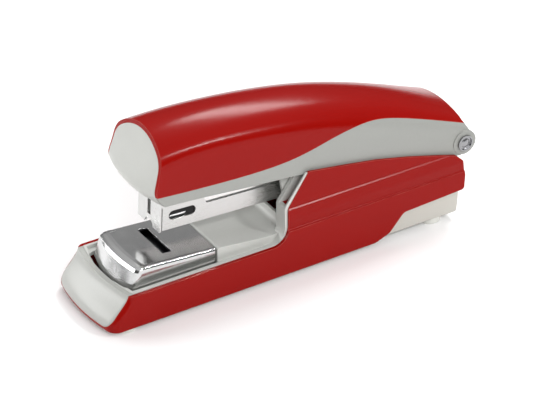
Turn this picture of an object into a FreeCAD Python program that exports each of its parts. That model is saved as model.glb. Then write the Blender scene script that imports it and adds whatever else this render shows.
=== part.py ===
import FreeCAD, Part
import math
import os

V = FreeCAD.Vector

# Desk stapler with a sinking anvil that folds the staple legs flat.
# Frame: X along the stapler with the mouth towards -X and the hinge towards +X,
# Y = 0 is the plane of symmetry, Z = 0 is the desk. The origin is the middle of the
# footprint. All lengths are millimetres, all angles degrees.

# ---- driving dimensions ----
GAP = 0.3                      # running clearance between parts that pass each other

# hinge
PIN_X = 74.1
PIN_Z = 31.0
PIN_R = 2.5
BORE_R = 2.55                  # running fit on the pin
BOSS_R = 4.9                   # round end of the handle's cheeks

# base
BASE_HALF = 19.7               # half width in front
BASE_HALF_REAR = 19.0          # half width at the tail
BASE_WALL = 1.6
BASE_BOTTOM = 2.1              # underside of the shell above the desk
RIM_Z = 15.05                  # rim of the open tray
NOSE_FOOT_X = -78.9            # front of the base at the desk
NOSE_BULGE_X = -76.2
NOSE_TOP_X = -71.3             # front of the base at the rim
NOSE_SAGITTA = 2.6             # how far the front bulges over its width
BLOCK_X = -3.6                 # front of the raised rear block
BLOCK_FILLET = 6.5
LEDGE_Z = 19.6                 # lower flute line
CREST_Z = 28.6                 # upper flute line
LEDGE_HALF = 18.5
FLUTE_HALF = 18.95
TOP_HALF = 13.4                # half width of the block's inner wall
WALL_TOP_HALF = 18.15          # half width of the wall outside the handle's cheeks
INNER_RIM_HALF = 15.5          # inside this the block ends lower, below the handle
TAIL_X = 73.5
CHEEK_SLOT_IN = 13.7           # room in the block for the handle's cheeks
CHEEK_SLOT_OUT = 17.35
PRESS_TOTAL = 8.2              # how far the cheeks turn down, with room to spare
LUG_R = 4.2                    # ears and lugs around the pin

PAN_Z = 2.4                    # underside of the bottom cover
TAIL_PAN_Z = 2.9               # the same at the tail

# tray liner
FLOOR_Z = 14.0
FLOOR_THICK = 1.5
LINER_HALF = 18.0
DECK_HALF = 14.5
DECK_X = -30.7
DECK_Z = 19.6
DECK_REAR_Z = 16.7
WELL_HALF = 14.8
WELL_X = -69.4                 # front of the well around the anvil

# anvil, drawn level and then tilted about its upper rear edge
ANVIL_TILT = 4.3
ANVIL_HALF = 14.2
ANVIL_REAR_X = -31.3
ANVIL_TOP = 19.6
ANVIL_SKIRT_Z = 9.0
ANVIL_SHEET = 0.9
ANVIL_PIVOT = (-35.0, 12.3)
SLOT_X = (-49.8, -46.0)
SLOT_HALF = 8.9

# magazine, drawn level and then pitched up about the hinge
PITCH = 2.8
MAG_HALF = 7.6
MAG_SHEET = 0.6
MAG_FLOOR = 23.3               # underside of the channel before pitching
MAG_FRONT = -49.1
SIDE_FRONT = MAG_FRONT + 0.35   # the side walls start behind a narrow gap
PLATE_THICK = 0.7
STEP_X = -31.8                 # where the side wall steps down
HIGH_WALL = 15.5
LOW_WALL = 6.6
RAIL_HALF = 5.9
STAPLE_HALF = 6.45
STAPLE_LEG = 6.0
WIRE = 0.5
DRIVER_ROOM = 1.5              # gap behind the front plate where the blade runs
STRIP_LENGTH = 34.0
FOLLOWER_LENGTH = 14.0
COVER_FOOT_X = 0.4             # front lower corner of the cover over the magazine's rear
COVER_TOP_X = -3.4
COVER_HALF = 11.5

# handle
SHELL_WALL = 2.0
CHEEK_HALF = 16.9
NOSE_WALL = 2.2
NOSE_RIM = 1.0                 # edge of the shell around the cap
NOSE_HALF = 17.0
DRIVE_STROKE = 3.7             # turn of the handle on the magazine that drives a staple


# ---- helpers ----
def box(x0, x1, y0, y1, z0, z1):
    return Part.makeBox(x1 - x0, y1 - y0, z1 - z0, V(x0, y0, z0))


def slab(x0, x1, half, z0, z1):
    """Box that is symmetric about Y = 0."""
    return box(x0, x1, -half, half, z0, z1)


def rounded_wire(points, radii, place):
    """Closed outline with rounded corners; place(u, v) makes the 3-D point."""
    count = len(points)
    starts = []
    mids = []
    ends = []
    for i in range(count):
        ax, az = points[i - 1]
        bx, bz = points[i]
        cx, cz = points[(i + 1) % count]
        radius = radii[i]
        if radius == 0:
            starts.append((bx, bz))
            mids.append(None)
            ends.append((bx, bz))
            continue
        before = math.hypot(ax - bx, az - bz)
        after = math.hypot(cx - bx, cz - bz)
        ux, uz = (ax - bx) / before, (az - bz) / before
        wx, wz = (cx - bx) / after, (cz - bz) / after
        half = math.acos(max(-1.0, min(1.0, ux * wx + uz * wz))) / 2
        tangent = radius / math.tan(half)
        mx, mz = ux + wx, uz + wz
        size = math.hypot(mx, mz)
        inward = radius / math.sin(half) - radius
        starts.append((bx + ux * tangent, bz + uz * tangent))
        mids.append((bx + mx / size * inward, bz + mz / size * inward))
        ends.append((bx + wx * tangent, bz + wz * tangent))
    edges = []
    for i in range(count):
        if mids[i] is not None:
            arc = Part.Arc(place(*starts[i]), place(*mids[i]), place(*ends[i]))
            edges.append(arc.toShape())
        here = place(*ends[i])
        there = place(*starts[(i + 1) % count])
        if here.distanceToPoint(there) > 1e-6:
            edges.append(Part.LineSegment(here, there).toShape())
    return Part.Wire(edges)


def side_plate(points, radii, y0, y1):
    """Outline in the XZ plane, extruded from y0 to y1."""
    if not isinstance(radii, (list, tuple)):
        radii = [radii] * len(points)
    wire = rounded_wire(points, radii, lambda u, v: V(u, y0, v))
    return Part.Face(wire).extrude(V(0, y1 - y0, 0))


def cross_plate(points, radii, x0, x1):
    """Outline in the YZ plane, extruded from x0 to x1."""
    if not isinstance(radii, (list, tuple)):
        radii = [radii] * len(points)
    wire = rounded_wire(points, radii, lambda u, v: V(x0, u, v))
    return Part.Face(wire).extrude(V(x1 - x0, 0, 0))


def flat_plate(points, radii, z0, z1):
    """Outline in the XY plane, extruded from z0 to z1."""
    if not isinstance(radii, (list, tuple)):
        radii = [radii] * len(points)
    wire = rounded_wire(points, radii, lambda u, v: V(u, v, z0))
    return Part.Face(wire).extrude(V(0, 0, z1 - z0))


def rod_y(x, z, radius, y0, y1):
    return Part.makeCylinder(radius, y1 - y0, V(x, y0, z), V(0, 1, 0))


def rod_x(y, z, radius, x0, x1):
    return Part.makeCylinder(radius, x1 - x0, V(x0, y, z), V(1, 0, 0))


def rod_z(x, y, radius, z0, z1):
    return Part.makeCylinder(radius, z1 - z0, V(x, y, z0), V(0, 0, 1))


def side_pair(points, radii, inner, outer):
    """The same side outline on both sides, between two half widths."""
    near = side_plate(points, radii, -outer, -inner)
    far = side_plate(points, radii, inner, outer)
    return near, far


def pin_bore(half, radius=BORE_R):
    return rod_y(PIN_X, PIN_Z, radius, -half, half)


def round_lug(shape):
    """Round the end of an ear or lug about the pin."""
    waste = slab(PIN_X + 1.0, PIN_X + 10.0, 12.5, PIN_Z - 10.0, PIN_Z + 10.0)
    return shape.cut(waste.cut(rod_y(PIN_X, PIN_Z, LUG_R, -12.5, 12.5)))


def turned(shape, degrees):
    """Turn a copy about the hinge pin; positive lifts the front."""
    copy = shape.copy()
    copy.rotate(V(PIN_X, 0, PIN_Z), V(0, 1, 0), degrees)
    return copy


def pitched(shape):
    return turned(shape, PITCH)


def save(name, shape):
    shape = shape.removeSplitter()
    solids = shape.Solids
    if len(solids) == 1:
        shape = solids[0]
    else:
        shape = Part.makeCompound(solids)
    shape.exportStep("parts/" + name + ".step")
    print(name, len(solids), "solid", round(shape.Volume, 1), "mm3", shape.isValid())
    return shape


# ---- handle outlines ----
def handle_underside():
    """Lower edge of the handle from nose to hinge, as points in XZ."""
    return [
        V(-60.0, 0, 46.6),
        V(-54.6, 0, 46.0),
        V(-37.5, 0, 44.3),
        V(-20.0, 0, 42.5),
        V(0.0, 0, 40.7),
        V(19.3, 0, 38.2),
        V(35.3, 0, 35.6),
        V(49.8, 0, 32.2),
        V(63.3, 0, 28.2),
        V(PIN_X - 1.5, 0, PIN_Z - 4.95),
    ]


def curve(points):
    line = Part.BSplineCurve()
    line.interpolate(points)
    return line.toShape()


def region_above(points, top):
    """Solid that fills everything above a curve, 50 mm wide."""
    half = 25.0
    lifted = [V(p.x, -half, p.z) for p in points]
    bottom = curve(lifted)
    first = lifted[0]
    last = lifted[-1]
    corner_last = V(last.x, -half, top)
    corner_first = V(first.x, -half, top)
    edges = [
        bottom,
        Part.LineSegment(last, corner_last).toShape(),
        Part.LineSegment(corner_last, corner_first).toShape(),
        Part.LineSegment(corner_first, first).toShape(),
    ]
    return Part.Face(Part.Wire(edges)).extrude(V(0, 2 * half, 0))


def colour_line():
    """Where the coloured shell meets the frame, from nose to tail."""
    return [
        V(-62.0, 0, 51.0),
        V(-56.4, 0, 50.1),
        V(-38.4, 0, 48.2),
        V(-26.4, 0, 47.4),
        V(-14.0, 0, 47.0),
        V(-2.0, 0, 47.3),
        V(8.4, 0, 48.7),
        V(17.5, 0, 50.5),
        V(26.0, 0, 51.6),
        V(34.8, 0, 51.3),
        V(47.9, 0, 47.9),
        V(58.4, 0, 44.2),
        V(69.3, 0, 40.2),
        V(82.0, 0, 35.4),
    ]


def handle_section(x, crease_half, crease_z, crown, tangent, low_half, low_z, inset):
    """One cross-section of the handle: two sides, two rounded shoulders and a crown."""
    crease_half = crease_half - inset
    crease_z = crease_z - inset
    low_half = low_half - inset
    beta = math.radians(crown)
    side_y = low_half - crease_half
    side_z = crease_z - low_z
    length = math.hypot(side_y, side_z)
    down = (side_y / length, -side_z / length)
    over = (-math.cos(beta), math.sin(beta))
    start = (crease_half + down[0] * tangent, crease_z + down[1] * tangent)
    end = (crease_half + over[0] * tangent, crease_z + over[1] * tangent)
    mid = (down[0] + over[0], down[1] + over[1])
    size = math.hypot(*mid)
    half = math.acos(down[0] * over[0] + down[1] * over[1]) / 2
    radius = tangent * math.tan(half)
    reach = radius / math.sin(half) - radius
    shoulder = (crease_half + mid[0] / size * reach, crease_z + mid[1] / size * reach)
    apex = end[1] + end[0] * math.tan(beta / 2)

    def at(y, z):
        return V(x, y, z)

    edges = [
        Part.LineSegment(at(-low_half, low_z), at(-start[0], start[1])).toShape(),
        Part.Arc(at(-start[0], start[1]), at(-shoulder[0], shoulder[1]), at(-end[0], end[1])).toShape(),
        Part.Arc(at(-end[0], end[1]), at(0, apex), at(end[0], end[1])).toShape(),
        Part.Arc(at(end[0], end[1]), at(shoulder[0], shoulder[1]), at(start[0], start[1])).toShape(),
        Part.LineSegment(at(start[0], start[1]), at(low_half, low_z)).toShape(),
        Part.LineSegment(at(low_half, low_z), at(-low_half, low_z)).toShape(),
    ]
    return Part.Wire(edges)


# x, half width and height of the crease, crown angle, shoulder length, lower half width, lower height
HANDLE_STATIONS = [
    (-62.0, 16.6, 62.1, 33.0, 4.6, 18.2, 44.5),
    (-38.0, 15.3, 63.3, 42.0, 2.4, 17.05, 42.3),
    (-20.0, 15.2, 62.0, 44.0, 2.4, 17.0, 40.4),
    (0.0, 15.2, 59.6, 42.0, 3.2, 17.0, 38.5),
    (18.0, 15.0, 56.5, 38.0, 4.4, 17.0, 36.2),
    (36.0, 14.8, 52.1, 32.5, 5.2, 17.0, 33.4),
    (54.0, 14.9, 46.4, 26.5, 5.2, 17.0, 28.8),
    (72.0, 16.2, 39.7, 18.0, 4.6, 17.0, 22.6),
    (84.0, 16.6, 35.0, 18.0, 4.2, 17.0, 18.0),
]


def handle_envelope(inset):
    wires = []
    for row in HANDLE_STATIONS:
        wires.append(handle_section(*row, inset))
    return Part.makeLoft(wires, True, False)


# x at the sides, bulge in the middle, height
NOSE_ROWS = [
    (-51.6, 2.4, 42.0),
    (-53.3, 2.9, 46.0),
    (-56.0, 2.7, 50.5),
    (-55.0, 2.5, 55.4),
    (-53.7, 1.7, 60.0),
    (-51.8, 0.8, 66.5),
    (-49.6, 0.4, 74.0),
]


def nose_slice(back, y):
    """Outline of everything behind the nose, in one plane across the handle."""
    share = 1.0 - (y / NOSE_HALF) ** 2
    points = [V(x - bulge * share + back, y, z) for x, bulge, z in NOSE_ROWS]
    low = points[0]
    high = points[-1]
    far_low = V(90.0, y, 10.0)
    far_high = V(90.0, y, high.z)
    low_bottom = V(low.x, y, 10.0)
    edges = [
        curve(points),
        Part.LineSegment(high, far_high).toShape(),
        Part.LineSegment(far_high, far_low).toShape(),
        Part.LineSegment(far_low, low_bottom).toShape(),
        Part.LineSegment(low_bottom, low).toShape(),
    ]
    return Part.Wire(edges)


def region_behind(back):
    """Everything behind the bulging nose, moved back by a distance."""
    slices = [nose_slice(back, y) for y in (-24.0, -12.0, 0.0, 12.0, 24.0)]
    return Part.makeLoft(slices, True, False)


def tail_outline(grow):
    """Side outline that rounds the handle off around the hinge."""
    boss = BOSS_R + grow
    rear = side_plate(
        [(-70, 10), (PIN_X, PIN_Z - boss), (PIN_X + 2.2 + grow, PIN_Z - 3.0),
         (PIN_X + 2.0 + grow, PIN_Z + 5.0), (PIN_X + 0.3 + grow, PIN_Z + 8.2 + grow),
         (PIN_X - 1.5 + grow, 84), (-70, 84)],
        [0, 0, 0, 0.6, 0.8, 0, 0], -30, 30)
    return rear.fuse(rod_y(PIN_X, PIN_Z, boss, -30, 30))


# ---- base ----
def bowed_outline(z, front_x, rear_x, half, rear_half, sagitta, corner):
    """Plan outline at one height: bulging front, straight sides, flat rear."""
    side_x = front_x + sagitta
    radius = (half * half + sagitta * sagitta) / (2 * sagitta)
    edge_half = half - corner
    edge_x = front_x + radius - math.sqrt(radius * radius - edge_half * edge_half)
    bend = corner * 0.29
    start = side_x + corner * 1.15
    edges = [
        Part.Arc(V(edge_x, -edge_half, z), V(front_x, 0, z), V(edge_x, edge_half, z)).toShape(),
        Part.Arc(V(edge_x, edge_half, z), V(side_x + bend, half - bend * 0.9, z),
                 V(start, half, z)).toShape(),
        Part.LineSegment(V(start, half, z), V(rear_x, rear_half, z)).toShape(),
        Part.LineSegment(V(rear_x, rear_half, z), V(rear_x, -rear_half, z)).toShape(),
        Part.LineSegment(V(rear_x, -rear_half, z), V(start, -half, z)).toShape(),
        Part.Arc(V(start, -half, z), V(side_x + bend, -half + bend * 0.9, z),
                 V(edge_x, -edge_half, z)).toShape(),
    ]
    return Part.Wire(edges)


def base_outline(z, front_x, corner):
    return bowed_outline(z, front_x, TAIL_X, BASE_HALF, BASE_HALF_REAR, NOSE_SAGITTA, corner)


def base_envelope():
    """Solid of the whole base before it is hollowed."""
    rows = [
        (BASE_BOTTOM, NOSE_FOOT_X + 0.3, 3.0),
        (BASE_BOTTOM + 1.2, NOSE_FOOT_X, 3.0),
        ((BASE_BOTTOM + RIM_Z) / 2, NOSE_BULGE_X, 2.6),
        (RIM_Z + 0.4, NOSE_TOP_X, 2.2),
    ]
    front = Part.makeLoft([base_outline(*row) for row in rows], True, False)
    top = base_outline(RIM_Z + 0.4, NOSE_TOP_X, 2.2)
    upper = Part.Face(top).extrude(V(0, 0, 30))
    return front.fuse(upper)


def base_side_profile():
    """The base seen from the side: tray, raised block, tail and cut-away rear corner."""
    points = [
        (-85.0, BASE_BOTTOM), (34.0, BASE_BOTTOM), (40.0, 4.3), (46.2, 11.2), (TAIL_X - 0.3, 12.4),
        (TAIL_X, 18.5), (TAIL_X - 1.2, 24.9), (69.4, 27.6), (62.1, 29.8), (48.6, 33.6), (34.1, 37.0),
        (18.1, 39.6), (5.0, 41.6), (BLOCK_X, 28.8), (BLOCK_X, RIM_Z), (-85.0, RIM_Z),
    ]
    radii = [0, 6.0, 5.0, 3.0, 1.2, 6.0, 1.4, 1.0, 0, 0, 0, 0, 0.8, 2.5, BLOCK_FILLET, 0]
    return side_plate(points, radii, -25, 25)


def inner_relief():
    """Room above the lower, inner part of the block, so that the handle clears it."""
    points = [
        (BLOCK_X - 6.0, 29.6), (BLOCK_X, 29.6), (4.6, 39.0), (6.6, 39.4), (19.3, 37.0), (35.3, 34.4),
        (49.8, 31.2), (63.0, CREST_Z + 0.6), (80.0, CREST_Z - 2.0), (80.0, 60.0), (BLOCK_X - 6.0, 60.0),
    ]
    return side_plate(points, 0, -INNER_RIM_HALF, INNER_RIM_HALF)


def block_section():
    """The base seen from the front: straight sides, ledge, flute and upright top."""
    points = [
        (BASE_HALF, 0), (BASE_HALF, LEDGE_Z), (LEDGE_HALF, LEDGE_Z + 0.7),
        (FLUTE_HALF, LEDGE_Z + 4.6), (LEDGE_HALF + 0.25, CREST_Z - 0.3),
        (LEDGE_HALF - 0.25, CREST_Z + 0.3), (WALL_TOP_HALF, 46.0),
    ]
    radii = [0, 0.5, 0.6, 12.0, 0.25, 0.3, 0]
    mirrored = [(-y, z) for y, z in reversed(points)]
    return cross_plate(points + mirrored, radii + list(reversed(radii)), -90, 90)


def cheek_room():
    """Space the handle's cheeks need when the handle is pressed right down."""
    points = [V(p.x, 0, p.z) for p in handle_underside()]
    lowered = turned(region_above(points, 70.0), -PRESS_TOTAL)
    boss = rod_y(PIN_X, PIN_Z, BOSS_R + 0.9, -25, 25)
    room = lowered.fuse(boss)
    room.translate(V(0, 0, -0.4))
    near = room.common(box(-90, 90, -CHEEK_SLOT_OUT, -CHEEK_SLOT_IN, 0, 80))
    far = room.common(box(-90, 90, CHEEK_SLOT_IN, CHEEK_SLOT_OUT, 0, 80))
    return near.fuse(far)


def nose_window(grow):
    """Front-view outline of the nose panel, as a prism along X."""
    half = LINER_HALF + 0.1 + grow
    low = BASE_BOTTOM + 1.4 - grow
    points = [(-half, low), (half, low), (half, RIM_Z + 5), (-half, RIM_Z + 5)]
    return cross_plate(points, [4.0, 4.0, 0, 0], -90, -60)


def base_body():
    body = base_envelope().common(base_side_profile()).common(block_section())
    return body.cut(inner_relief())


def skin_room(grow):
    """Front part of the block's inner walls, which belongs to the tray liner."""
    points = [
        (BLOCK_X - 8.0, 25.0 - grow), (20.0 + grow, 25.0 - grow), (20.0 + grow, 60.0), (BLOCK_X - 8.0, 60.0),
    ]
    near, far = side_pair(points, 0, COVER_HALF + 0.5, CHEEK_SLOT_IN + grow)
    return near.fuse(far)


def make_base_shell(body):
    cavity_tray = slab(-90, TAIL_X - BASE_WALL, LINER_HALF + 0.1, -5, LEDGE_Z - 1.0)
    front_stop = cavity_tray.common(base_envelope())
    moved = base_envelope()
    moved.translate(V(BASE_WALL, 0, 0))
    cavity = front_stop.common(moved)
    block_cavity = slab(BLOCK_X - 10, TAIL_X - BASE_WALL - 1.5, TOP_HALF - 1.4, -5, 60)
    upper_cavity = slab(BLOCK_X - 10, TAIL_X - BASE_WALL - 1.5, LEDGE_HALF - 1.6, -5, CREST_Z - 3.4)
    shell = body.cut(cavity).cut(block_cavity).cut(upper_cavity)
    shell = shell.cut(nose_window(0.05))
    shell = shell.cut(cheek_room()).cut(skin_room(0.02))
    tail_gate = slab(TAIL_X - 12, TAIL_X + 5, TOP_HALF - 1.4, 20.6, 60)
    return shell.cut(tail_gate)


def make_nose_panel():
    """Front panel with a lip that reaches back over the tray's rim."""
    outer = base_envelope()
    inner = base_envelope()
    inner.translate(V(BASE_WALL + 0.4, 0, 0))
    skin = outer.cut(inner).common(nose_window(0))
    return skin.common(slab(-90, -60, 25, 0, RIM_Z + 0.15))


def make_liner():
    """Tray floor, its raised rim, the deck behind the anvil and the collar of the block."""
    inner = base_envelope()
    inner.translate(V(BASE_WALL + 0.5, 0, 0))
    plan = inner.common(slab(-90, BLOCK_X + 6.0, LINER_HALF, FLOOR_Z - FLOOR_THICK, RIM_Z + 0.3))
    hollow = inner.copy()
    hollow.translate(V(1.1, 0, 0))
    hollow = hollow.common(slab(-90, 30, LINER_HALF - 1.1, FLOOR_Z, 40))
    tray = plan.cut(hollow)
    well = bowed_outline(0, WELL_X, DECK_X + 0.2, WELL_HALF, WELL_HALF, 2.3, 2.4)
    tray = tray.cut(Part.Face(well).extrude(V(0, 0, 40)))
    deck_points = [
        (DECK_X, FLOOR_Z - FLOOR_THICK), (DECK_X, DECK_Z), (-9.0, DECK_REAR_Z + 0.5),
        (-2.4, DECK_REAR_Z + 1.0), (-1.6, 20.6), (-0.3, 20.6), (-0.3, FLOOR_Z - FLOOR_THICK),
    ]
    deck = side_plate(deck_points, [0, 1.0, 20.0, 2.4, 0.3, 0.3, 0], -DECK_HALF, DECK_HALF)
    room_points = [
        (DECK_X + 1.3, 0), (DECK_X + 1.3, DECK_Z - 1.5), (-9.0, DECK_REAR_Z - 0.9),
        (-1.8, DECK_REAR_Z - 0.9), (-1.8, 0),
    ]
    deck_room = side_plate(room_points, 0, -DECK_HALF + 1.3, DECK_HALF - 1.3)
    collar_points = [
        (BLOCK_X - 8.0, FLOOR_Z - FLOOR_THICK), (BLOCK_X - 8.0, RIM_Z - 0.8),
        (BLOCK_X - 1.1, RIM_Z - 0.8), (BLOCK_X - 1.1, 29.4), (3.9, 41.2),
        (6.2, 41.2), (BLOCK_X + 1.6, 28.4), (BLOCK_X + 1.6, FLOOR_Z - FLOOR_THICK),
    ]
    collar_radii = [0, 0, BLOCK_FILLET - 0.4, 2.5, 0.4, 0.4, 2.5, 0]
    near, far = side_pair(collar_points, collar_radii, COVER_HALF + 0.6, LINER_HALF)
    collar = near.fuse(far).cut(slab(-20, 20, INNER_RIM_HALF, 38.4, 60))
    skin = skin_room(0.0).cut(inner_relief()).cut(slab(-20, BLOCK_X + 0.5, 30, 0, 60))
    collar = collar.fuse(skin)
    collar = collar.common(block_section())
    return tray.fuse(deck).cut(deck_room).fuse(collar)


def make_bottom_pan():
    """Cover under the base, with the upstand that shows below the cut-away rear corner."""
    half = LINER_HALF - 0.2
    inner = base_envelope()
    inner.translate(V(BASE_WALL + 1.0, 0, 0))
    flat = inner.common(slab(-90, 36.0, half, PAN_Z, PAN_Z + 1.5))
    tail = flat_plate([(34.0, -half), (72.6, -half), (72.6, half), (34.0, half)],
                      [0, 2.6, 2.6, 0], TAIL_PAN_Z, 12.0)
    tail = tail.common(side_plate([(34.0, TAIL_PAN_Z), (70.9, TAIL_PAN_Z), (72.5, 12.0), (34.0, 12.0)],
                                  [0, 1.0, 0, 0], -half, half))
    room = flat_plate([(30.0, -half + 1.4), (71.2, -half + 1.4), (71.2, half - 1.4), (30.0, half - 1.4)],
                      [0, 2.0, 2.0, 0], TAIL_PAN_Z + 1.4, 30)
    room = room.common(side_plate([(30.0, TAIL_PAN_Z + 1.4), (69.7, TAIL_PAN_Z + 1.4), (71.3, 13.5), (30.0, 13.5)],
                                  [0, 0.6, 0, 0], -half, half))
    return flat.fuse(tail.cut(room))


# x, y and height of each foot
FEET = [(-69.0, -14.6, PAN_Z), (-69.0, 14.6, PAN_Z), (61.8, -13.2, TAIL_PAN_Z), (61.8, 13.2, TAIL_PAN_Z)]
FOOT_R = 4.2


def make_feet():
    feet = []
    for x, y, height in FEET:
        disc = rod_z(x, y, FOOT_R, 0, height)
        low_edges = [e for e in disc.Edges if abs(e.BoundBox.ZMax) < 1e-4]
        feet.append(disc.makeFillet(0.5, low_edges))
    return Part.makeCompound(feet)


BRACKET_IN = 10.2
BRACKET_OUT = 11.7
BRACKET_FLOOR = 6.0


def make_base_bracket():
    """Steel U that carries the hinge pin."""
    ear = [
        (20.0, BRACKET_FLOOR), (66.0, BRACKET_FLOOR), (66.4, 21.6), (PIN_X + LUG_R, PIN_Z - LUG_R),
        (PIN_X + LUG_R, PIN_Z + LUG_R), (PIN_X - LUG_R, PIN_Z + LUG_R), (52.0, 20.0), (20.0, 12.0),
    ]
    radii = [0, 2.0, 3.0, LUG_R - 0.1, LUG_R - 0.1, LUG_R - 0.1, 8.0, 3.0]
    near, far = side_pair(ear, radii, BRACKET_IN, BRACKET_OUT)
    floor = slab(-68.0, 66.0, BRACKET_IN + 0.2, BRACKET_FLOOR, BRACKET_FLOOR + 1.5)
    bracket = near.fuse(far).fuse(floor)
    bracket = round_lug(bracket).cut(pin_bore(30, PIN_R))
    for x, y in SCREWS:
        bracket = bracket.cut(rod_z(x, y, 1.3, 0, 20))
    return bracket


SCREWS = [(-20.0, 6.5), (-20.0, -6.5), (30.0, 6.5), (30.0, -6.5)]


def make_bracket_posts():
    """Spacers between the bottom cover and the bracket."""
    posts = []
    for x, y in SCREWS:
        post = rod_z(x, y, 3.0, PAN_Z + 1.5, BRACKET_FLOOR)
        posts.append(post.cut(rod_z(x, y, 1.3, 0, 20)))
    return Part.makeCompound(posts)


def make_bracket_screws():
    screws = []
    for x, y in SCREWS:
        head = rod_z(x, y, 2.3, BRACKET_FLOOR + 1.5, BRACKET_FLOOR + 3.0)
        shank = rod_z(x, y, 1.25, PAN_Z + 1.7, BRACKET_FLOOR + 1.6)
        slot = box(x - 2.5, x + 2.5, y - 0.3, y + 0.3, BRACKET_FLOOR + 2.4, BRACKET_FLOOR + 4)
        cross = box(x - 0.3, x + 0.3, y - 2.5, y + 2.5, BRACKET_FLOOR + 2.4, BRACKET_FLOOR + 4)
        screws.append(head.fuse(shank).cut(slot).cut(cross))
    return Part.makeCompound(screws)


def make_hinge_pin():
    """Shaft with a shouldered, domed head on each side."""
    half = CHEEK_HALF + 0.1
    pin = rod_y(PIN_X, PIN_Z, PIN_R, -half - 0.1, half + 0.1)
    for side in (-1, 1):
        collar = Part.makeCylinder(3.1, 0.7, V(PIN_X, side * half, PIN_Z), V(0, side, 0))
        groove = Part.makeCylinder(2.65, 1.0, V(PIN_X, side * (half + 0.15), PIN_Z), V(0, side, 0))
        dome = Part.makeSphere(3.4, V(PIN_X, side * (half - 2.7), PIN_Z))
        dome = dome.common(Part.makeCylinder(2.1, 4.0, V(PIN_X, side * (half - 0.2), PIN_Z), V(0, side, 0)))
        pin = pin.fuse(collar.cut(groove)).fuse(dome)
    return pin


def make_hinge_washers():
    rings = []
    for side in (-1, 1):
        ring = Part.makeCylinder(LUG_R, 1.05, V(PIN_X, side * (BRACKET_OUT + 0.02), PIN_Z), V(0, side, 0))
        rings.append(ring.cut(pin_bore(30, PIN_R)))
    return Part.makeCompound(rings)


# ---- clincher and anvil ----
WING_X = (-49.4, -46.9)
WING_TOP = 18.2
WING_PIVOT_Y = 8.0
WING_PIVOT_Z = 16.4


def make_clincher_block():
    """Block under the anvil's slot with a groove for the two wings."""
    block = slab(-56.0, -42.0, 9.6, BRACKET_FLOOR + 1.5, 16.9)
    groove = slab(WING_X[0] - GAP, WING_X[1] + GAP, 20.0, 13.4, 30)
    block = block.cut(groove)
    for y in (-WING_PIVOT_Y, WING_PIVOT_Y):
        block = block.cut(rod_x(y, WING_PIVOT_Z - 1.4, 0.8, -60, -38))
    return block


def make_clincher_pins():
    pins = []
    for y in (-WING_PIVOT_Y, WING_PIVOT_Y):
        pins.append(rod_x(y, WING_PIVOT_Z - 1.4, 0.8, -55.6, -42.4))
    return Part.makeCompound(pins)


def make_wing(side):
    """Lever that folds one staple leg; its outer end turns on a pin."""
    z = WING_PIVOT_Z - 1.4
    points = [
        (side * 0.25, WING_TOP - 1.9), (side * 0.25, WING_TOP), (side * 7.4, WING_TOP - 0.3),
        (side * (WING_PIVOT_Y + 1.3), z + 0.6), (side * (WING_PIVOT_Y + 1.3), z - 1.2),
        (side * (WING_PIVOT_Y - 1.3), z - 1.2),
    ]
    if side > 0:
        points.reverse()
    wing = cross_plate(points, 0.2, WING_X[0], WING_X[1])
    return wing.cut(rod_x(side * WING_PIVOT_Y, z, 0.85, -60, -38))


# height, front, half width, bulge of each plan outline of the anvil
ANVIL_ROWS = [
    (11.6, -67.3, 0.0, 3.0),
    (17.4, -64.8, 0.0, 1.9),
    (18.5, -64.1, 0.1, 1.6),
    (19.1, -63.2, 0.35, 1.5),
    (19.45, -62.0, 0.75, 1.4),
    (ANVIL_TOP, -60.7, 1.2, 1.3),
]


def anvil_body(inset, skirt_z):
    """Stack of bowed outlines, moved inwards by the sheet's thickness."""
    rear_x = ANVIL_REAR_X - inset
    half = ANVIL_HALF - inset
    foot_x = ANVIL_ROWS[0][1] - 0.4 + inset
    wires = [bowed_outline(skirt_z, foot_x, rear_x, half, half, 3.0, 1.6)]
    for z, front_x, narrowing, bulge in ANVIL_ROWS:
        row_half = half - narrowing
        wires.append(bowed_outline(z - inset, front_x + inset, rear_x, row_half, row_half, bulge, 1.6))
    return Part.makeLoft(wires, True, True)


def make_anvil_cover():
    """Folded cover with a bowed front and rounded top edges."""
    cover = anvil_body(0.0, ANVIL_SKIRT_Z).cut(anvil_body(ANVIL_SHEET, ANVIL_SKIRT_Z - 4.0))
    cover.rotate(V(ANVIL_REAR_X, 0, ANVIL_TOP), V(0, 1, 0), ANVIL_TILT)
    slot = flat_plate([(SLOT_X[0], -SLOT_HALF), (SLOT_X[1], -SLOT_HALF),
                       (SLOT_X[1], SLOT_HALF), (SLOT_X[0], SLOT_HALF)], 0.3, 16, 30)
    cover = cover.cut(slot)
    px, pz = ANVIL_PIVOT
    return cover.cut(rod_y(px, pz, 1.25, -20, 20))


def make_anvil_posts():
    """Two posts inside the anvil that hold its pivot pin."""
    px, pz = ANVIL_PIVOT
    posts = []
    for side in (-1, 1):
        y0 = side * 9.0
        y1 = side * 11.0
        posts.append(box(px - 1.7, px + 1.7, min(y0, y1), max(y0, y1), BRACKET_FLOOR + 1.5, pz + 2.0)
                     .cut(rod_y(px, pz, 1.2, -20, 20)))
    return Part.makeCompound(posts)


def make_anvil_pin():
    px, pz = ANVIL_PIVOT
    return rod_y(px, pz, 1.2, -ANVIL_HALF + 0.1, ANVIL_HALF - 0.1)


def coil(radius, wire, z0, z1, turns, x, y):
    """Helical spring standing on z0."""
    helix = Part.makeHelix((z1 - z0 - wire) / turns, z1 - z0 - wire, radius)
    section = Part.Wire(Part.makeCircle(wire / 2, V(radius, 0, 0), V(0, 1, 0)))
    spring = Part.Wire(helix.Edges).makePipeShell([section], True, True)
    spring.translate(V(x, y, z0 + wire / 2))
    return spring


ANVIL_SPRING_TOP = 18.9


def make_anvil_spring():
    return coil(2.4, 0.8, BRACKET_FLOOR + 1.5, ANVIL_SPRING_TOP, 5, -39.1, 0)


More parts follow.
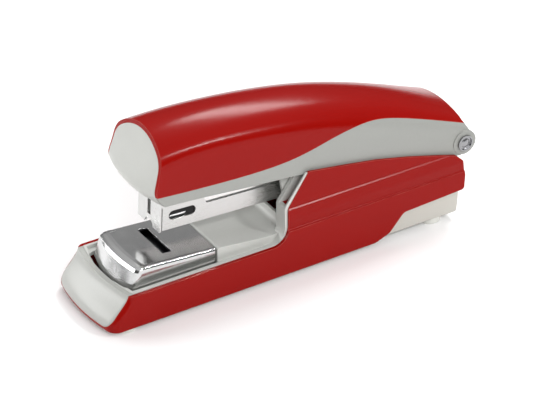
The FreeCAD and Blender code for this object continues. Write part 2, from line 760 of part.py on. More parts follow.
LIFT_X = 12.0
LIFT_TOP = 26.0


def make_lift_spring():
    """Coil that lifts the magazine off the anvil."""
    return coil(4.2, 1.0, BRACKET_FLOOR + 1.5, LIFT_TOP, 5, LIFT_X, 0)


# ---- magazine ----
def channel_side():
    """Side outline of the channel wall, with its high front, low middle and rear lug."""
    return [
        (SIDE_FRONT, MAG_FLOOR), (PIN_X - 3.0, MAG_FLOOR), (PIN_X + LUG_R, PIN_Z - LUG_R),
        (PIN_X + LUG_R, PIN_Z + LUG_R), (PIN_X - 6.0, PIN_Z + LUG_R), (PIN_X - 16.0, MAG_FLOOR + LOW_WALL),
        (STEP_X + 1.0, MAG_FLOOR + LOW_WALL), (STEP_X, MAG_FLOOR + LOW_WALL + 1.8),
        (STEP_X, MAG_FLOOR + 9.0), (STEP_X - 1.5, MAG_FLOOR + HIGH_WALL),
        (SIDE_FRONT, MAG_FLOOR + HIGH_WALL),
    ]


def side_window():
    """Rounded sight window near the front of the magazine's sides."""
    return side_plate([(-46.2, 26.9), (-35.3, 26.9), (-35.3, 30.5), (-46.2, 30.5)], 1.75, -30, 30)


def make_magazine_channel():
    radii = [0, 3.0, 4.0, 4.0, 4.0, 6.0, 1.0, 0.4, 0.8, 2.0, 0]
    near, far = side_pair(channel_side(), radii, MAG_HALF - MAG_SHEET, MAG_HALF)
    floor = slab(MAG_FRONT + 2.2, PIN_X - 8.0, MAG_HALF, MAG_FLOOR, MAG_FLOOR + MAG_SHEET)
    channel = near.fuse(far).fuse(floor)
    return round_lug(channel.cut(side_window())).cut(pin_bore(30))


LINER_IN = 6.55
LINER_OUT = MAG_HALF - MAG_SHEET - 0.03
LINER_X = -32.9                # front of the bright guide


def make_magazine_liner():
    """Bright inner guide that stands a little above the lowered side wall."""
    guide = [
        (LINER_X, MAG_FLOOR + MAG_SHEET), (PIN_X - 20.0, MAG_FLOOR + MAG_SHEET),
        (PIN_X - 20.0, MAG_FLOOR + 8.6), (LINER_X, MAG_FLOOR + 8.6),
    ]
    near, far = side_pair(guide, [0, 0, 1.0, 0.3], LINER_IN, LINER_OUT)
    floor = slab(LINER_X, PIN_X - 20.0, LINER_IN + 0.1, MAG_FLOOR + MAG_SHEET, MAG_FLOOR + MAG_SHEET + 0.4)
    return near.fuse(far).fuse(floor)


def make_window_guide():
    """Black guide behind the sight window, with a small opening that shows the staples."""
    guide = [
        (MAG_FRONT + 2.0, MAG_FLOOR + MAG_SHEET), (LINER_X - 0.1, MAG_FLOOR + MAG_SHEET),
        (LINER_X - 0.1, MAG_FLOOR + 9.4), (MAG_FRONT + 2.0, MAG_FLOOR + 9.4),
    ]
    near, far = side_pair(guide, 0, LINER_IN, LINER_OUT)
    floor = slab(MAG_FRONT + 2.2, LINER_X - 0.1, LINER_IN + 0.1, MAG_FLOOR + MAG_SHEET,
                 MAG_FLOOR + MAG_SHEET + 0.4)
    sight = side_plate([(-45.6, 27.2), (-38.4, 27.2), (-38.4, 28.5), (-45.6, 28.5)], 0.6, -30, 30)
    return near.fuse(far).fuse(floor).cut(sight)


RAIL_BOTTOM = MAG_FLOOR + MAG_SHEET + 0.4
RAIL_TOP = RAIL_BOTTOM + STAPLE_LEG
RAIL_FRONT = MAG_FRONT + DRIVER_ROOM
RAIL_REAR = PIN_X - 22.0
STRIP_FRONT = RAIL_FRONT + 0.05
FOLLOWER_X = STRIP_FRONT + STRIP_LENGTH + 0.1


def make_staple_rail():
    """Inverted U that the staples ride on."""
    outer = slab(RAIL_FRONT, RAIL_REAR, RAIL_HALF, RAIL_BOTTOM, RAIL_TOP)
    inner = slab(RAIL_FRONT - 1, RAIL_REAR + 1, RAIL_HALF - 0.7, RAIL_BOTTOM - 1, RAIL_TOP - 0.7)
    slot = slab(FOLLOWER_X + 3.0, RAIL_REAR - 6.0, 1.6, RAIL_TOP - 2, RAIL_TOP + 2)
    return outer.cut(inner).cut(slot)


def make_staple_strip():
    """A stick of joined staples, grooved between wires."""
    outer = slab(STRIP_FRONT, STRIP_FRONT + STRIP_LENGTH, STAPLE_HALF, RAIL_BOTTOM + 0.1, RAIL_TOP + WIRE + 0.02)
    inner = slab(STRIP_FRONT - 1, STRIP_FRONT + STRIP_LENGTH + 1, RAIL_HALF + 0.02, 0, RAIL_TOP + 0.02)
    strip = outer.cut(inner)
    groove_pitch = STRIP_LENGTH / 24
    grooves = []
    for i in range(1, 24):
        x = STRIP_FRONT + i * groove_pitch
        grooves.append(slab(x - 0.06, x + 0.06, 8, RAIL_TOP + WIRE - 0.06, RAIL_TOP + WIRE + 1))
    return strip.cut(Part.makeCompound(grooves))


def make_front_plate():
    """Front of the magazine: guides the blade, with a slit and an arched mouth."""
    foot = MAG_FLOOR - 0.7
    points = [(-MAG_HALF, foot), (MAG_HALF, foot), (MAG_HALF, MAG_FLOOR + HIGH_WALL),
              (-MAG_HALF, MAG_FLOOR + HIGH_WALL)]
    plate = cross_plate(points, [0.5, 0.5, 1.0, 1.0], MAG_FRONT - PLATE_THICK, MAG_FRONT)
    slit = slab(MAG_FRONT - 3, MAG_FRONT + 1, 1.1, MAG_FLOOR + 3.4, MAG_FLOOR + 13.0)
    arch = rod_x(0, foot, 2.6, MAG_FRONT - 3, MAG_FRONT + 1)
    return plate.cut(slit).cut(arch)


def make_front_tabs():
    """Folded tabs that join the front plate to the channel."""
    points = [
        (MAG_FRONT - PLATE_THICK, MAG_FLOOR + 9.6), (MAG_FRONT + 3.5, MAG_FLOOR + 9.6),
        (MAG_FRONT + 3.5, MAG_FLOOR + 14.5), (MAG_FRONT - PLATE_THICK, MAG_FLOOR + 14.5),
    ]
    near, far = side_pair(points, [0, 0.6, 0.6, 0], MAG_HALF, MAG_HALF + 0.5)
    return near.fuse(far)


ROD_Z = RAIL_BOTTOM + 2.8
REAR_STOP_X = RAIL_REAR - 4.5


def make_guide_rod():
    return rod_x(0, ROD_Z, 0.9, RAIL_FRONT + 4.0, REAR_STOP_X + 3.0)


def make_rear_stop():
    """Block pressed into the rail that holds the guide rod and the spring's end."""
    stop = slab(REAR_STOP_X, RAIL_REAR, RAIL_HALF - 0.75, RAIL_BOTTOM + 0.02, RAIL_TOP - 0.75)
    return stop.cut(rod_x(0, ROD_Z, 0.9, 0, REAR_STOP_X + 3.0))


def make_front_stop():
    """Small block in the rail's front that holds the other end of the rod."""
    stop = slab(RAIL_FRONT + 0.8, RAIL_FRONT + 5.0, RAIL_HALF - 0.75, RAIL_BOTTOM + 0.02, RAIL_TOP - 0.75)
    return stop.cut(rod_x(0, ROD_Z, 0.9, RAIL_FRONT + 4.0, 0))


def make_follower():
    """Saddle that pushes the staples; its tongue runs on the rod inside the rail."""
    outer = slab(FOLLOWER_X, FOLLOWER_X + FOLLOWER_LENGTH, STAPLE_HALF - 0.1, RAIL_BOTTOM + 0.4, RAIL_TOP + 2.4)
    inner = slab(FOLLOWER_X - 1, FOLLOWER_X + 30, RAIL_HALF + 0.1, 0, RAIL_TOP + 0.15)
    tongue = slab(FOLLOWER_X + 4.0, FOLLOWER_X + FOLLOWER_LENGTH, 1.2, ROD_Z - 1.6, RAIL_TOP + 1.0)
    return outer.cut(inner).fuse(tongue).cut(rod_x(0, ROD_Z, 1.0, FOLLOWER_X - 1, FOLLOWER_X + 30))


def make_follower_spring():
    """Compression spring around the rod, between tongue and rear stop."""
    radius = 2.0
    wire = 0.8
    start = FOLLOWER_X + FOLLOWER_LENGTH
    length = REAR_STOP_X - start - 0.2
    helix = Part.makeHelix((length - wire) / 9, length - wire, radius)
    section = Part.Wire(Part.makeCircle(wire / 2, V(radius, 0, 0), V(0, 1, 0)))
    spring = Part.Wire(helix.Edges).makePipeShell([section], True, True)
    spring.rotate(V(0, 0, 0), V(0, 1, 0), 90)
    spring.translate(V(start + 0.1 + wire / 2, 0, ROD_Z))
    return spring


def make_magazine_cover():
    """Cover over the rear of the magazine: two raked sides and a roof."""
    foot = MAG_FLOOR - 3.4
    side = [
        (COVER_FOOT_X, foot), (20.0, foot), (20.0, 24.0), (48.0, 26.0), (48.0, 31.0), (12.0, 36.5),
        (COVER_TOP_X, 36.5),
    ]
    outer = side_plate(side, [0.6, 2.0, 0, 0, 2.0, 3.0, 0.6], -COVER_HALF, COVER_HALF)
    room = [(-30.0, 10.0), (60.0, 10.0), (60.0, 45.0), (24.0, 45.0), (24.0, 33.4), (12.0, 35.2), (-30.0, 35.2)]
    return outer.cut(side_plate(room, 0, -COVER_HALF + 1.3, COVER_HALF - 1.3))


def make_cover_tabs():
    """Screws that hold the cover's sides to the channel."""
    pins = []
    for x in (8.0, 40.0):
        for side in (-1, 1):
            start = side * (MAG_HALF + 0.02)
            pins.append(Part.makeCylinder(1.4, COVER_HALF - 1.32 - MAG_HALF, V(x, start, MAG_FLOOR + 4.4),
                                          V(0, side, 0)))
    return Part.makeCompound(pins)


# ---- press spring ----
SPRING_OUT = 6.2
SPRING_IN = 4.9


def make_press_spring():
    """Bent leaf spring between magazine and handle, with two lugs on the pin."""
    lug = [
        (PIN_X + 4.0, PIN_Z - 4.0), (PIN_X + 4.0, PIN_Z + 4.0), (PIN_X - 4.0, PIN_Z + 5.4),
        (PIN_X - 16.0, PIN_Z + 8.4), (PIN_X - 16.0, PIN_Z + 7.2), (PIN_X - 5.0, PIN_Z + 1.8),
        (PIN_X - 4.0, PIN_Z - 4.0),
    ]
    near, far = side_pair(lug, [3.9, 3.9, 2.0, 0.3, 0.3, 2.0, 3.9], SPRING_IN, SPRING_OUT)
    leaf = [
        (PIN_X - 12.0, PIN_Z + 7.3), (PIN_X - 44.0, PIN_Z + 15.4), (PIN_X - 52.0, PIN_Z + 16.0),
        (PIN_X - 52.0, PIN_Z + 15.2), (PIN_X - 44.0, PIN_Z + 14.6), (PIN_X - 12.0, PIN_Z + 6.5),
    ]
    blade = side_plate(leaf, [0, 12.0, 0.3, 0.3, 12.0, 0], -SPRING_OUT, SPRING_OUT)
    spring = blade.fuse(near).fuse(far)
    return spring.cut(pin_bore(30))


# ---- handle ----
def handle_solid(inset):
    body = handle_envelope(inset)
    room = region_above(handle_underside(), 80.0).fuse(rod_y(PIN_X, PIN_Z, BOSS_R, -17, 17))
    room = room.fuse(slab(PIN_X - 2.0, 90, 25, PIN_Z, 80))
    return body.common(room).common(tail_outline(0))


def make_nose_cap(outer, inner):
    """Grey cap set into the front of the head, with a spigot that plugs into the shell."""
    front = outer.common(handle_envelope(NOSE_RIM + 0.03)).common(region_behind(0.0))
    front = front.cut(region_behind(NOSE_WALL))
    ring = inner.common(region_behind(NOSE_WALL)).cut(region_behind(NOSE_WALL + 2.0))
    core = handle_envelope(SHELL_WALL + 1.6)
    return front.fuse(ring.cut(core).common(slab(-90, 0, 25, 47.5, 80)))


def nose_pocket():
    """Recess in the front of the shell that takes the cap."""
    return handle_envelope(NOSE_RIM).cut(region_behind(NOSE_WALL + 0.03))


def tail_web(outer):
    """Wall that closes the handle behind the hinge."""
    wall = tail_outline(0).cut(tail_outline(-1.5))
    return wall.common(outer).common(slab(PIN_X - 4.0, 90, 25, PIN_Z + 3.6, 80))


SHELL_BOSSES = [(-24.0, 57.9), (12.0, 52.8)]   # x and height of the carrier's roof there


def shell_bosses(inner):
    """Posts under the shell that the carrier is screwed to."""
    posts = []
    for x, z in SHELL_BOSSES:
        post = rod_z(x, 0, 3.2, z, 80).common(inner)
        posts.append(post.cut(rod_z(x, 0, 1.2, 0, z + 3.5)))
    return posts


def make_top_shell(outer, inner, carrier):
    zone = region_above(colour_line(), 80.0)
    shell = outer.cut(inner).fuse(tail_web(outer)).common(zone)
    shell = shell.common(region_behind(0.0)).cut(nose_pocket())
    for post in shell_bosses(inner):
        shell = shell.fuse(post.cut(carrier))
    return shell


def make_handle_frame(outer, inner):
    """Cheeks and lower band with the hinge bosses and the rear web."""
    zone = region_above(colour_line(), 80.0)
    frame = outer.cut(inner).fuse(tail_web(outer)).cut(zone)
    frame = frame.common(region_behind(0.0)).cut(nose_pocket())
    for side in (-1, 1):
        boss = Part.makeCylinder(BOSS_R, 3.45, V(PIN_X, side * 13.4, PIN_Z), V(0, side, 0))
        frame = frame.fuse(boss)
    frame = frame.cut(rod_y(PIN_X, PIN_Z, LUG_R + 0.8, -13.0, 13.0))
    return frame.cut(pin_bore(30))


CARRIER_IN = 8.1
CARRIER_OUT = 9.3


ROOF_THICK = 1.2


def make_carrier():
    """Steel U-channel that carries the blade and turns on the pin."""
    side = [
        (PIN_X + LUG_R, PIN_Z - LUG_R), (PIN_X + LUG_R, PIN_Z + LUG_R), (58.0, 40.6), (34.0, 47.8),
        (8.0, 53.8), (-20.0, 57.8), (-44.0, 58.8), (-44.0, 53.4), (-20.0, 51.6), (8.0, 47.0),
        (34.0, 42.2), (PIN_X - 6.0, PIN_Z + 1.0), (PIN_X - LUG_R, PIN_Z - LUG_R),
    ]
    radii = [4.1, 4.1, 20, 40, 60, 60, 1.0, 1.0, 40, 40, 30, 3.0, 4.0]
    near, far = side_pair(side, radii, CARRIER_IN, CARRIER_OUT)
    roof_points = [
        (58.0, 40.6), (34.0, 47.8), (8.0, 53.8), (-20.0, 57.8), (-44.0, 58.8),
        (-44.0, 57.6), (-20.0, 56.6), (8.0, 52.6), (34.0, 46.6), (58.0, 39.4),
    ]
    roof = side_plate(roof_points, [0, 40, 60, 60, 0, 0, 60, 60, 40, 0], -CARRIER_OUT, CARRIER_OUT)
    carrier = near.fuse(far).fuse(roof).cut(pin_bore(30))
    for x, z in RIVETS:
        carrier = carrier.cut(rod_z(x, 0, RIVET_R, 0, 80))
    for x, z in SHELL_BOSSES:
        carrier = carrier.cut(rod_z(x, 0, 1.2, 0, 80))
    return carrier


BLADE_HALF = 6.4
BLADE_THICK = 0.5
BLADE_X = MAG_FRONT + 0.5      # front face of the blade at half stroke
BLADE_TIP = RAIL_TOP + WIRE + 0.4
RIVET_R = 1.2
RIVETS = [(-41.6, 57.5), (-37.4, 57.3)]        # x and height of the roof's underside there


def make_driver_blade():
    """Flat blade that leans half its stroke, bent back at the top to meet the roof."""
    blade = slab(BLADE_X, BLADE_X + BLADE_THICK, BLADE_HALF, BLADE_TIP - 3.95, 52.0)
    blade = turned(blade, PITCH + DRIVE_STROKE / 2)
    blade = blade.common(slab(-60, 0, BLADE_HALF, 0, 57.6))
    tab = side_plate([(-47.3, 57.5), (-34.0, 57.1), (-34.0, 56.4), (-47.3, 56.8)], 0, -BLADE_HALF, BLADE_HALF)
    blade = blade.fuse(tab)
    for x, z in RIVETS:
        blade = blade.cut(rod_z(x, 0, RIVET_R, 0, 80))
    return blade


def make_driver_rivets():
    """Rivets that hold the blade under the roof."""
    rivets = []
    for x, z in RIVETS:
        shank = rod_z(x, 0, RIVET_R, z - 1.4, z + ROOF_THICK + 1.0)
        top = rod_z(x, 0, 2.1, z + ROOF_THICK + 0.1, z + ROOF_THICK + 1.0)
        low = rod_z(x, 0, 2.1, z - 2.0, z - 1.2)
        rivets.append(shank.fuse(top).fuse(low))
    return Part.makeCompound(rivets)


def make_carrier_screws():
    """Screws from below the carrier's roof into the shell's posts."""
    screws = []
    for x, z in SHELL_BOSSES:
        head = rod_z(x, 0, 2.4, z - 3.2, z - 1.9)
        shank = rod_z(x, 0, 1.15, z - 2.0, z + 3.2)
        slot = box(x - 3, x + 3, -0.3, 0.3, z - 4, z - 2.7)
        screws.append(head.fuse(shank).cut(slot))
    return Part.makeCompound(screws)


def main():
    os.makedirs("parts", exist_ok=True)
    shell = make_base_shell(base_body()).cut(make_feet())
    save("base_shell", shell)
    save("nose_panel", make_nose_panel())
    save("tray_liner", make_liner().cut(cheek_room()).cut(shell))
    save("bottom_pan", make_bottom_pan())
    save("rubber_feet", make_feet())
    save("base_bracket", make_base_bracket())
    save("bracket_posts", make_bracket_posts())
    save("bracket_screws", make_bracket_screws())
    save("hinge_pin", make_hinge_pin())
    save("hinge_washers", make_hinge_washers())
    save("clincher_block", make_clincher_block())
    save("clincher_pins", make_clincher_pins())
    save("clincher_wing_near", make_wing(-1))
    save("clincher_wing_far", make_wing(1))
    save("anvil_cover", make_anvil_cover())
    save("anvil_posts", make_anvil_posts())
    save("anvil_pin", make_anvil_pin())
    save("anvil_spring", make_anvil_spring())
    save("lift_spring", make_lift_spring())
    save("magazine_channel", pitched(make_magazine_channel()))
    save("magazine_liner", pitched(make_magazine_liner()))
    save("window_guide", pitched(make_window_guide()))
    save("staple_rail", pitched(make_staple_rail()))
    save("staple_strip", pitched(make_staple_strip()))
    save("front_plate", pitched(make_front_plate()))
    save("front_tabs", pitched(make_front_tabs()))
    save("guide_rod", pitched(make_guide_rod()))
    save("rear_stop", pitched(make_rear_stop()))
    save("front_stop", pitched(make_front_stop()))
    save("follower", pitched(make_follower()))
    save("follower_spring", pitched(make_follower_spring()))
    save("magazine_cover", pitched(make_magazine_cover()))
    save("cover_screws", pitched(make_cover_tabs()))
    save("press_spring", make_press_spring())
    outer = handle_solid(0.0)
    inner = handle_envelope(SHELL_WALL)
    save("nose_cap", make_nose_cap(outer, inner))
    save("top_shell", make_top_shell(outer, inner, make_carrier()))
    save("handle_frame", make_handle_frame(outer, inner))
    save("handle_carrier", make_carrier())
    save("carrier_screws", make_carrier_screws())
    save("driver_blade", make_driver_blade())
    save("driver_rivets", make_driver_rivets())


main()
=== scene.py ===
import bpy
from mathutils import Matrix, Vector

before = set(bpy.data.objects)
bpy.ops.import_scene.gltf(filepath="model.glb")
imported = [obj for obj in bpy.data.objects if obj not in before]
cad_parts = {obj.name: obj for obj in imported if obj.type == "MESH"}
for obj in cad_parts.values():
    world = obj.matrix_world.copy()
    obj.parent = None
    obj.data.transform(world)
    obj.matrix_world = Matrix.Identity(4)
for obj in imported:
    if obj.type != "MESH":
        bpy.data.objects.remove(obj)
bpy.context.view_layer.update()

# Lengths are metres. Colours are linear red, green and blue.
BEVEL_SAMPLES = 6
EDGE_DOT = 0.82                  # rounded against true normal, where an edge counts in full
MIDDLE = (0.3, 0.7)              # where most of a noise's values lie

# sizes of the patterns on plastic, depth of the sink marks and rounding of its edges
FLOW_SIZE = 0.03
SPECK_SIZE = 0.0011
EDGE_VARIATION_SIZE = 0.006
RUB_SIZE = 0.0016
SINK_SIZE = 0.012
SINK_DEPTH = 0.000012
PLASTIC_ROUNDING = 0.00025

# the same for metal; its scratches run two ways
CLOUD_SIZE = 0.012
CLOUD_DEPTH = 0.00002
SCRATCH_SIZE_A = 0.0006
SCRATCH_SIZE_B = 0.0007
SCRATCH_DEPTH = 0.000004
METAL_ROUNDING = 0.00012

RED = (0.250, 0.0022, 0.0008)
RED_EDGE_HIGHLIGHT = (0.80, 0.22, 0.17)     # a painted highlight: the pale pinkish line along the red shell's edges

# each plastic's colour and roughness, then what differs from the usual grain, gloss and painted edge
# highlight
PLASTICS = {
    "red_shell": (RED, 0.22, dict(grain=0.0003, depth=0.0000015, gloss=0.13, edge_highlight=RED_EDGE_HIGHLIGHT)),
    "red_shell_top": (RED, 0.20, dict(grain=0.0003, depth=0.0000012, gloss=0.15, edge_highlight=RED_EDGE_HIGHLIGHT)),
    "grey_panel": ((0.39, 0.394, 0.372), 0.34, {}),
    "grey_liner": ((0.535, 0.539, 0.513), 0.40, {}),
    "grey_pan": ((0.468, 0.452, 0.412), 0.5, {}),
    "grey_frame": ((0.288, 0.292, 0.274), 0.36, {}),
    "grey_cap": ((0.44, 0.445, 0.42), 0.32, {}),
    "grey_cover": ((0.50, 0.505, 0.48), 0.40, {}),
    "foot_pad": ((0.62, 0.62, 0.58), 0.6, dict(grain=0.0006, depth=0.00002)),
    "follower_plastic": ((0.05, 0.05, 0.055), 0.45, {}),
    "black_plastic": ((0.008, 0.008, 0.008), 0.4, dict(gloss=0.2)),
}

# each metal's colour and roughness, then what differs from the usual drawn lines
METALS = {
    "plated_steel": ((0.55, 0.55, 0.54), 0.32, {}),
    "screw_steel": ((0.45, 0.45, 0.45), 0.35, {}),
    "polished_pin": ((0.34, 0.34, 0.35), 0.22, dict(along=(1.0, 1.0, 1.0), line=0.0002)),
    "dark_steel": ((0.16, 0.16, 0.17), 0.38, {}),
    "anvil_chrome": ((0.66, 0.66, 0.66), 0.15, dict(line=0.0001, depth=0.0000012)),
    "spring_steel": ((0.35, 0.35, 0.36), 0.28, {}),
    "magazine_steel": ((0.64, 0.64, 0.63), 0.28, {}),
    "bright_steel": ((0.78, 0.78, 0.77), 0.18, {}),
    "staple_wire": ((0.66, 0.66, 0.67), 0.22, dict(along=(1.0, 0.05, 0.05), line=0.0002)),
}

FLOOR_HALF = 4.0
FLOOR_CLOUD = 0.2
FLOOR_PALE = (0.90, 0.90, 0.90)
FLOOR_PALEST = (0.93, 0.93, 0.93)

# each light's place, the point it faces, its width and height, and its power in watts
LIGHTS = {
    "dome_box": ((0.62, 0.34, 0.90), (0.0, 0.0, 0.05), (0.5, 0.22), 6.5),
    "crease_box": ((0.50, -0.75, 0.70), (0.0, 0.0, 0.05), (0.12, 0.06), 3.2),
    "front_box": ((-0.95, 0.85, 0.42), (-0.06, 0.0, 0.03), (1.0, 0.5), 11.0),
    "fill_box": ((-0.2, -1.2, 0.9), (0.0, 0.0, 0.04), (1.0, 0.6), 12.0),
}

# height of the direction looked in (1 is straight up) and the world's brightness there
WORLD_STOPS = [(0.0, 0.02), (0.12, 0.08), (0.5, 0.38), (0.8, 0.8)]
WORLD_STRENGTH = 0.9

CAMERA_PLACE = (-0.4376, -0.6994, 0.5431)
CAMERA_LOOK = (0.4475, 0.7172, -0.5342)
CAMERA_LENS = 182.4              # millimetres, as is the sensor's width
CAMERA_SENSOR = 36.0
CAMERA_CLIP = 0.05


# ---- procedural materials ----
class Surface:
    """Builds one node material; the methods that make a pattern return its output socket."""

    def __init__(self, name):
        self.material = bpy.data.materials.new(name)
        self.material.use_nodes = True
        self.tree = self.material.node_tree
        self.tree.nodes.clear()
        self.shader = self.tree.nodes.new("ShaderNodeBsdfPrincipled")
        output = self.tree.nodes.new("ShaderNodeOutputMaterial")
        self.link(self.shader.outputs["BSDF"], output.inputs["Surface"])
        self.place = self.tree.nodes.new("ShaderNodeTexCoord").outputs["Object"]

    def link(self, source, socket):
        self.tree.links.new(source, socket)

    def fill(self, socket, value):
        """Links a socket, or sets a number, a vector or a colour."""
        if isinstance(value, (int, float, tuple)):
            socket.default_value = value
        else:
            self.link(value, socket)

    def stretched(self, scale, turn=(0.0, 0.0, 0.0)):
        """Object coordinates, scaled differently along the three axes."""
        mapping = self.tree.nodes.new("ShaderNodeMapping")
        mapping.inputs["Scale"].default_value = scale
        mapping.inputs["Rotation"].default_value = turn
        self.link(self.place, mapping.inputs["Vector"])
        return mapping.outputs["Vector"]

    def noise(self, size, detail=3.0, rough=0.55, vector=None, warp=0.0):
        """Noise whose largest lumps are about size across."""
        node = self.tree.nodes.new("ShaderNodeTexNoise")
        node.inputs["Scale"].default_value = 1.0 / size
        node.inputs["Detail"].default_value = detail
        node.inputs["Roughness"].default_value = rough
        node.inputs["Distortion"].default_value = warp
        self.link(vector or self.place, node.inputs["Vector"])
        return node.outputs["Fac"]

    def span(self, value, low, high, new_low, new_high):
        """Maps low..high to new_low..new_high, clamped."""
        node = self.tree.nodes.new("ShaderNodeMapRange")
        node.inputs["From Min"].default_value = low
        node.inputs["From Max"].default_value = high
        node.inputs["To Min"].default_value = new_low
        node.inputs["To Max"].default_value = new_high
        self.link(value, node.inputs["Value"])
        return node.outputs["Result"]

    def maths(self, kind, first, second):
        """One arithmetic step on two sockets or numbers."""
        node = self.tree.nodes.new("ShaderNodeMath")
        node.operation = kind
        self.fill(node.inputs[0], first)
        self.fill(node.inputs[1], second)
        return node.outputs["Value"]

    def blend(self, factor, first, second):
        """Mixes two colours; either may be a socket or an (r, g, b)."""
        node = self.tree.nodes.new("ShaderNodeMix")
        node.data_type = "RGBA"
        ports = {s.identifier: s for s in node.inputs}
        self.link(factor, ports["Factor_Float"])
        for name, value in (("A_Color", first), ("B_Color", second)):
            self.fill(ports[name], (*value, 1.0) if isinstance(value, tuple) else value)
        return [s for s in node.outputs if s.identifier == "Result_Color"][0]

    def rounded_normal(self, radius):
        """The surface's normal as if its edges were rounded by radius."""
        bevel = self.tree.nodes.new("ShaderNodeBevel")
        bevel.samples = BEVEL_SAMPLES
        bevel.inputs["Radius"].default_value = radius
        return bevel.outputs["Normal"]

    def edge_mask(self, radius):
        """1 on convex and concave edges, 0 on flat ground."""
        rounded = self.rounded_normal(radius)
        geometry = self.tree.nodes.new("ShaderNodeNewGeometry")
        dot = self.tree.nodes.new("ShaderNodeVectorMath")
        dot.operation = "DOT_PRODUCT"
        self.link(rounded, dot.inputs[0])
        self.link(geometry.outputs["Normal"], dot.inputs[1])
        return self.span(dot.outputs["Value"], 1.0, EDGE_DOT, 0.0, 1.0)

    def bump(self, heights, radius):
        """heights is a list of (socket, depth); radius softens the sharp edges."""
        normal = self.rounded_normal(radius)
        for socket, depth in heights:
            node = self.tree.nodes.new("ShaderNodeBump")
            node.inputs["Strength"].default_value = 1.0
            node.inputs["Distance"].default_value = depth
            self.link(socket, node.inputs["Height"])
            self.link(normal, node.inputs["Normal"])
            normal = node.outputs["Normal"]
        self.link(normal, self.shader.inputs["Normal"])

    def set(self, **values):
        """Sets the shader's inputs by name, with _ for a space."""
        for name, value in values.items():
            self.fill(self.shader.inputs[name.replace("_", " ")], value)


def shade(colour, factor):
    return tuple(min(1.0, c * factor) for c in colour)


def moulded(name, colour, rough, grain=0.00035, depth=0.000006, gloss=0.5, edge_highlight=None):
    """Injection-moulded plastic: fine spark grain, flow variation, faint rubs, and paler edges that are
    partly wear and partly a painted highlight.
    """
    s = Surface(name)
    flow = s.noise(FLOW_SIZE, 4.0, 0.6, s.stretched((0.35, 1.0, 1.0)), 0.4)
    speck = s.noise(SPECK_SIZE, 4.0, 0.6)
    tone = s.blend(s.span(flow, *MIDDLE, 0.0, 1.0), shade(colour, 0.96), shade(colour, 1.04))
    tone = s.blend(s.span(speck, 0.35, 0.65, 0.0, 0.35), tone, shade(colour, 1.05))
    # paler edges in patches: partly wear and partly a painted highlight, pinkish on the red shell
    edge_variation = s.span(s.noise(EDGE_VARIATION_SIZE), 0.35, 0.7, 0.25, 1.0)
    wear_and_highlight = s.maths("MULTIPLY", s.edge_mask(PLASTIC_ROUNDING * 1.6), edge_variation)
    tone = s.blend(s.maths("MULTIPLY", wear_and_highlight, 0.5), tone, edge_highlight or shade(colour, 1.18))
    rubs = s.noise(RUB_SIZE, 5.0, 0.7, s.stretched((0.12, 1.0, 1.0), (0.0, 0.0, 0.4)))
    grip = s.maths("ADD", s.span(rubs, 0.5, 0.8, 0.0, 0.035), s.span(flow, *MIDDLE, -0.015, 0.015))
    s.set(Base_Color=tone, Roughness=s.maths("ADD", grip, rough), IOR=1.5, Specular_IOR_Level=gloss)
    sinks = s.noise(SINK_SIZE, 2.0, 0.5)
    s.bump([(s.noise(grain, 3.0, 0.5), depth), (sinks, SINK_DEPTH)], PLASTIC_ROUNDING)
    return s.material


def metal(name, colour, rough, along=(0.02, 1.0, 1.0), line=0.00012, depth=0.000003):
    """Plated or polished sheet metal with drawn lines, small scratches and soft stains."""
    s = Surface(name)
    lines = s.noise(line, 3.0, 0.6, s.stretched(along))
    cloud = s.noise(CLOUD_SIZE, 4.0, 0.6, warp=0.5)
    scratch_a = s.noise(SCRATCH_SIZE_A, 2.0, 0.5, s.stretched((0.05, 1.0, 1.0), (0.2, 0.1, 0.7)))
    scratch_b = s.noise(SCRATCH_SIZE_B, 2.0, 0.5, s.stretched((1.0, 0.05, 1.0), (0.1, 0.3, 0.35)))
    marks_a = s.span(scratch_a, 0.70, 0.76, 0.0, 1.0)
    marks_b = s.span(scratch_b, 0.72, 0.78, 0.0, 1.0)
    marks = s.maths("MAXIMUM", marks_a, marks_b)
    tone = s.blend(s.span(cloud, *MIDDLE, 0.0, 1.0), shade(colour, 0.9), shade(colour, 1.02))
    tone = s.blend(s.span(lines, *MIDDLE, 0.0, 0.5), tone, shade(colour, 0.9))
    # paler edges: a painted highlight along every edge
    tone = s.blend(s.maths("MULTIPLY", s.edge_mask(METAL_ROUNDING * 1.8), 0.5), tone, shade(colour, 1.12))
    grip = s.maths("ADD", s.span(lines, *MIDDLE, -0.04, 0.05), s.span(cloud, *MIDDLE, -0.03, 0.05))
    grip = s.maths("ADD", grip, s.maths("MULTIPLY", marks, 0.12))
    s.set(Base_Color=tone, Metallic=1.0, Roughness=s.maths("ADD", grip, rough))
    s.bump([(lines, depth), (marks, SCRATCH_DEPTH), (cloud, CLOUD_DEPTH)], METAL_ROUNDING)
    return s.material


materials = {}
for maker, recipes in ((moulded, PLASTICS), (metal, METALS)):
    for material_name, (base_colour, roughness, details) in recipes.items():
        materials[material_name] = maker(material_name, base_colour, roughness, **details)

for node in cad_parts.values():
    for port in node.material_slots:
        port.material = materials[port.material.name.split(".")[0]]


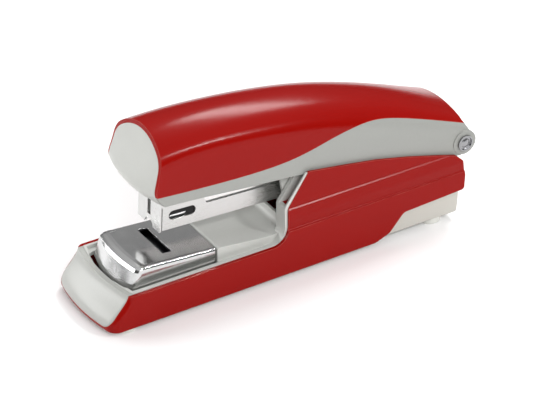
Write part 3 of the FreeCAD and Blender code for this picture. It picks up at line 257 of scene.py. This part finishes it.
# ---- stage ----
def make_floor():
    half = FLOOR_HALF
    corners = [(-half, -half, 0), (half, -half, 0), (half, half, 0), (-half, half, 0)]
    mesh = bpy.data.meshes.new("floor")
    mesh.from_pydata(corners, [], [(0, 1, 2, 3)])
    floor = bpy.data.objects.new("floor", mesh)
    bpy.context.scene.collection.objects.link(floor)
    s = Surface("floor_paper")
    cloud = s.span(s.noise(FLOOR_CLOUD), *MIDDLE, 0.0, 1.0)
    tone = s.blend(cloud, FLOOR_PALE, FLOOR_PALEST)
    s.set(Base_Color=tone, Roughness=0.8, Specular_IOR_Level=0.1)
    mesh.materials.append(s.material)


def make_light(name, place, target, size, power):
    data = bpy.data.lights.new(name, "AREA")
    data.shape = "RECTANGLE"
    data.size, data.size_y = size
    data.energy = power
    light = bpy.data.objects.new(name, data)
    light.location = place
    light.rotation_mode = "QUATERNION"
    light.rotation_quaternion = (Vector(target) - Vector(place)).to_track_quat("-Z", "Y")
    bpy.context.scene.collection.objects.link(light)


def make_world():
    """A studio that is dark at the horizon and below, and bright overhead."""
    world = bpy.data.worlds.new("studio")
    world.use_nodes = True
    tree = world.node_tree
    tree.nodes.clear()
    output = tree.nodes.new("ShaderNodeOutputWorld")
    back = tree.nodes.new("ShaderNodeBackground")
    ramp = tree.nodes.new("ShaderNodeValToRGB")
    split = tree.nodes.new("ShaderNodeSeparateXYZ")
    place = tree.nodes.new("ShaderNodeTexCoord")
    tree.links.new(place.outputs["Generated"], split.inputs["Vector"])
    tree.links.new(split.outputs["Z"], ramp.inputs["Fac"])
    tree.links.new(ramp.outputs["Color"], back.inputs["Color"])
    tree.links.new(back.outputs["Background"], output.inputs["Surface"])
    elements = ramp.color_ramp.elements
    elements.remove(elements[-1])            # leaves one element, at 0
    for position, _ in WORLD_STOPS[1:]:
        elements.new(position)
    for element, (_, grey) in zip(elements, WORLD_STOPS):
        element.color = (grey, grey, grey, 1.0)
    back.inputs["Strength"].default_value = WORLD_STRENGTH
    bpy.context.scene.world = world


def make_camera():
    data = bpy.data.cameras.new("camera")
    data.lens = CAMERA_LENS
    data.sensor_width = CAMERA_SENSOR
    data.clip_start = CAMERA_CLIP
    camera = bpy.data.objects.new("camera", data)
    camera.location = CAMERA_PLACE
    camera.rotation_mode = "QUATERNION"
    camera.rotation_quaternion = Vector(CAMERA_LOOK).to_track_quat("-Z", "Y")
    bpy.context.scene.collection.objects.link(camera)
    bpy.context.scene.camera = camera


make_floor()
make_world()
for light_name, light_settings in LIGHTS.items():
    make_light(light_name, *light_settings)
make_camera()
bpy.context.scene.view_settings.view_transform = "Standard"
